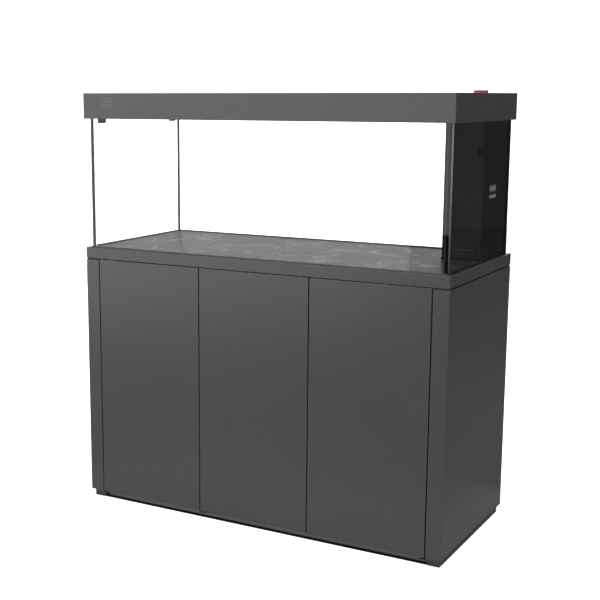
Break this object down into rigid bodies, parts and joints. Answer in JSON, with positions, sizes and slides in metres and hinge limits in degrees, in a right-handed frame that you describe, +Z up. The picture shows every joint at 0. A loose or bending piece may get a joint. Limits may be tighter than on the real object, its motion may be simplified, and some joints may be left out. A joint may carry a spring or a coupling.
{
  "type": "aquarium on stand",
  "caption": "Rimless glass aquarium on a flush-door cabinet, with a lift-off lighting hood that has hinged flaps and a black filter in the rear corner.",
  "frame": {"origin": "middle of the footprint, on the floor", "axes": "+X to the right seen from the doors, +Y to the back, +Z up"},
  "size_m": [1.2, 0.53, 1.304],
  "materials": {
    "board": "satin dark grey lacquer on board",
    "plinth_board": "matt black laminated board",
    "black_plastic": "matt moulded black plastic",
    "hood_plastic": "satin dark grey moulded and painted plastic",
    "steel": "brushed steel",
    "black_steel": "black powder coat",
    "nylon": "pale moulded nylon",
    "soft_seal": "soft black vinyl",
    "foam": "closed-cell foam",
    "clear_glass": "polished low-iron float glass",
    "silicone": "translucent silicone",
    "stone_sheet": "honed grey stone look with pale veins",
    "black_acrylic": "gloss black acrylic",
    "sponge": "open-cell filter foam",
    "red_plastic": "glossy red plastic",
    "aluminium": "anodised aluminium",
    "diffuser": "frosted diffuser"
  },
  "bodies": {
    "stand": {"base_rail_left": "board", "base_rail_right": "board", "base_mid_rails": "plinth_board", "front_plinth": "plinth_board", "rear_plinth": "plinth_board", "plinth_seal": "soft_seal", "bottom_panel": "board", "left_side_panel": "board", "right_side_panel": "board", "left_stile": "board", "right_stile": "board", "corner_cleats": "board", "left_divider": "board", "right_divider": "board", "back_panel": "board", "cable_grommets": "black_plastic", "sub_top": "board", "stand_top": "board", "upper_pivot_bushes": "nylon", "lower_pivot_brackets": "black_steel", "door_bumpers": "silicone", "latch_bodies": "black_plastic", "foam_mat": "foam", "floor_glass": "clear_glass", "front_glass": "clear_glass", "rear_glass": "clear_glass", "left_glass": "clear_glass", "right_glass": "clear_glass", "silicone_seams": "silicone", "stone_floor": "stone_sheet", "filter_front_wall": "black_acrylic", "filter_left_wall": "black_acrylic", "filter_liner": "black_acrylic", "filter_partition": "black_acrylic", "outlet_port": "black_plastic", "riser_pipe": "black_plastic", "pump_housing": "black_plastic", "media_basket": "black_plastic", "filter_sponge": "sponge", "hood_clips": "hood_plastic"},
    "left_door": {"left_door": "board", "left_door_pins": "steel"},
    "middle_door": {"middle_door": "board", "middle_door_pins": "steel"},
    "right_door": {"right_door": "board", "right_door_pins": "steel"},
    "left_plunger": {"left_latch_plunger": "nylon"},
    "middle_plunger": {"middle_latch_plunger": "nylon"},
    "right_plunger": {"right_latch_plunger": "nylon"},
    "hood": {"hood_frame": "hood_plastic", "hood_top": "hood_plastic", "light_housing": "aluminium", "light_end_caps": "black_plastic", "light_lens": "diffuser"},
    "feeding_flap": {"feeding_flap": "hood_plastic"},
    "filter_flap": {"filter_flap": "hood_plastic", "filter_flap_pull": "red_plastic"},
    "outlet_vane": {"outlet_vane": "black_plastic"},
    "impeller": {"pump_impeller": "nylon"}
  },
  "joints": [
    {"name": "left_door_hinge", "type": "hinge", "parent": "stand", "child": "left_door", "pos_m": [-0.5435, -0.259, 0.4], "axis": [0, 0, -1], "range_deg": [0, 100]},
    {"name": "middle_door_hinge", "type": "hinge", "parent": "stand", "child": "middle_door", "pos_m": [-0.176, -0.259, 0.4], "axis": [0, 0, -1], "range_deg": [0, 100]},
    {"name": "right_door_hinge", "type": "hinge", "parent": "stand", "child": "right_door", "pos_m": [0.5435, -0.259, 0.4], "axis": [0, 0, 1], "range_deg": [0, 100]},
    {"name": "left_latch_travel", "type": "slide", "parent": "stand", "child": "left_plunger", "axis": [0, -1, 0], "range_m": [0, 0.0205]},
    {"name": "middle_latch_travel", "type": "slide", "parent": "stand", "child": "middle_plunger", "axis": [0, -1, 0], "range_m": [0, 0.0205]},
    {"name": "right_latch_travel", "type": "slide", "parent": "stand", "child": "right_plunger", "axis": [0, -1, 0], "range_m": [0, 0.0205]},
    {"name": "hood_lift", "type": "slide", "parent": "stand", "child": "hood", "axis": [0, 0, 1], "range_m": [0, 0.15]},
    {"name": "feeding_flap_hinge", "type": "hinge", "parent": "hood", "child": "feeding_flap", "pos_m": [-0.1, -0.0691, 1.2935], "axis": [-1, 0, 0], "range_deg": [0, 100]},
    {"name": "filter_flap_hinge", "type": "hinge", "parent": "hood", "child": "filter_flap", "pos_m": [0.53, 0.2324, 1.2935], "axis": [-1, 0, 0], "range_deg": [0, 100]},
    {"name": "outlet_vane_swivel", "type": "hinge", "parent": "stand", "child": "outlet_vane", "pos_m": [0.563, 0.038, 1.1315], "axis": [0, 0, 1], "range_deg": [-30, 30]},
    {"name": "impeller_spin", "type": "hinge", "parent": "stand", "child": "impeller", "pos_m": [0.51, 0.066, 0.84], "axis": [0, 0, 1], "continuous": true}
  ],
  "couplings": [
    {"joint": "left_latch_travel", "follows": "left_door_hinge", "m_per_rad": 0.0114},
    {"joint": "middle_latch_travel", "follows": "middle_door_hinge", "m_per_rad": 0.0114},
    {"joint": "right_latch_travel", "follows": "right_door_hinge", "m_per_rad": 0.0114}
  ]
}
